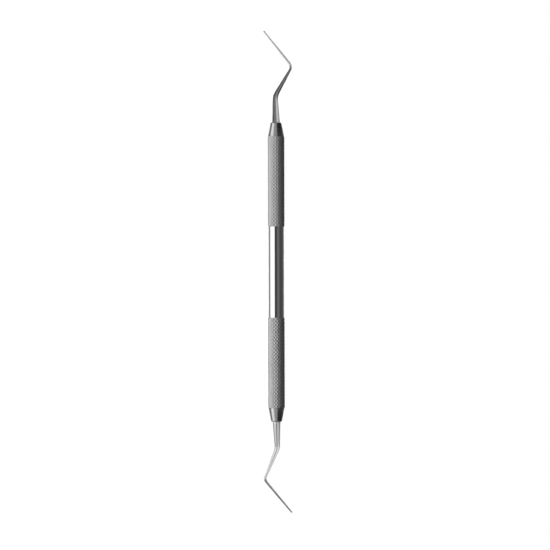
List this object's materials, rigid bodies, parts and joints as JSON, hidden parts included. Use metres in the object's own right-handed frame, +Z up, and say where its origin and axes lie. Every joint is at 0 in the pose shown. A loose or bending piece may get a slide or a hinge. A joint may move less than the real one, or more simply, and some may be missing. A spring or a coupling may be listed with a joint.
{
  "type": "hand scaler",
  "caption": "Double-ended dental hand instrument: a hollow knurled handle with a polished waist and cone collars, and a slim, bent, tapering point at each end.",
  "frame": {"origin": "on the floor under the middle of the handle, which lies on its side", "axes": "+Y along the handle towards the upper working end, +Z up, +X to the side that the upper working end bulges towards; both ends bend in the horizontal plane through the handle's axis"},
  "size_m": [0.0104, 0.1752, 0.0061],
  "materials": {
    "tube_steel": "stainless tube, satin diamond-knurled grips and a mirror-polished waist",
    "collar_steel": "turned and polished stainless",
    "point_steel": "ground stainless, finely brushed along its length"
  },
  "bodies": {
    "root": {"handle_tube": "tube_steel", "upper_collar": "collar_steel", "lower_collar": "collar_steel", "upper_working_end": "point_steel", "lower_working_end": "point_steel"}
  },
  "joints": []
}
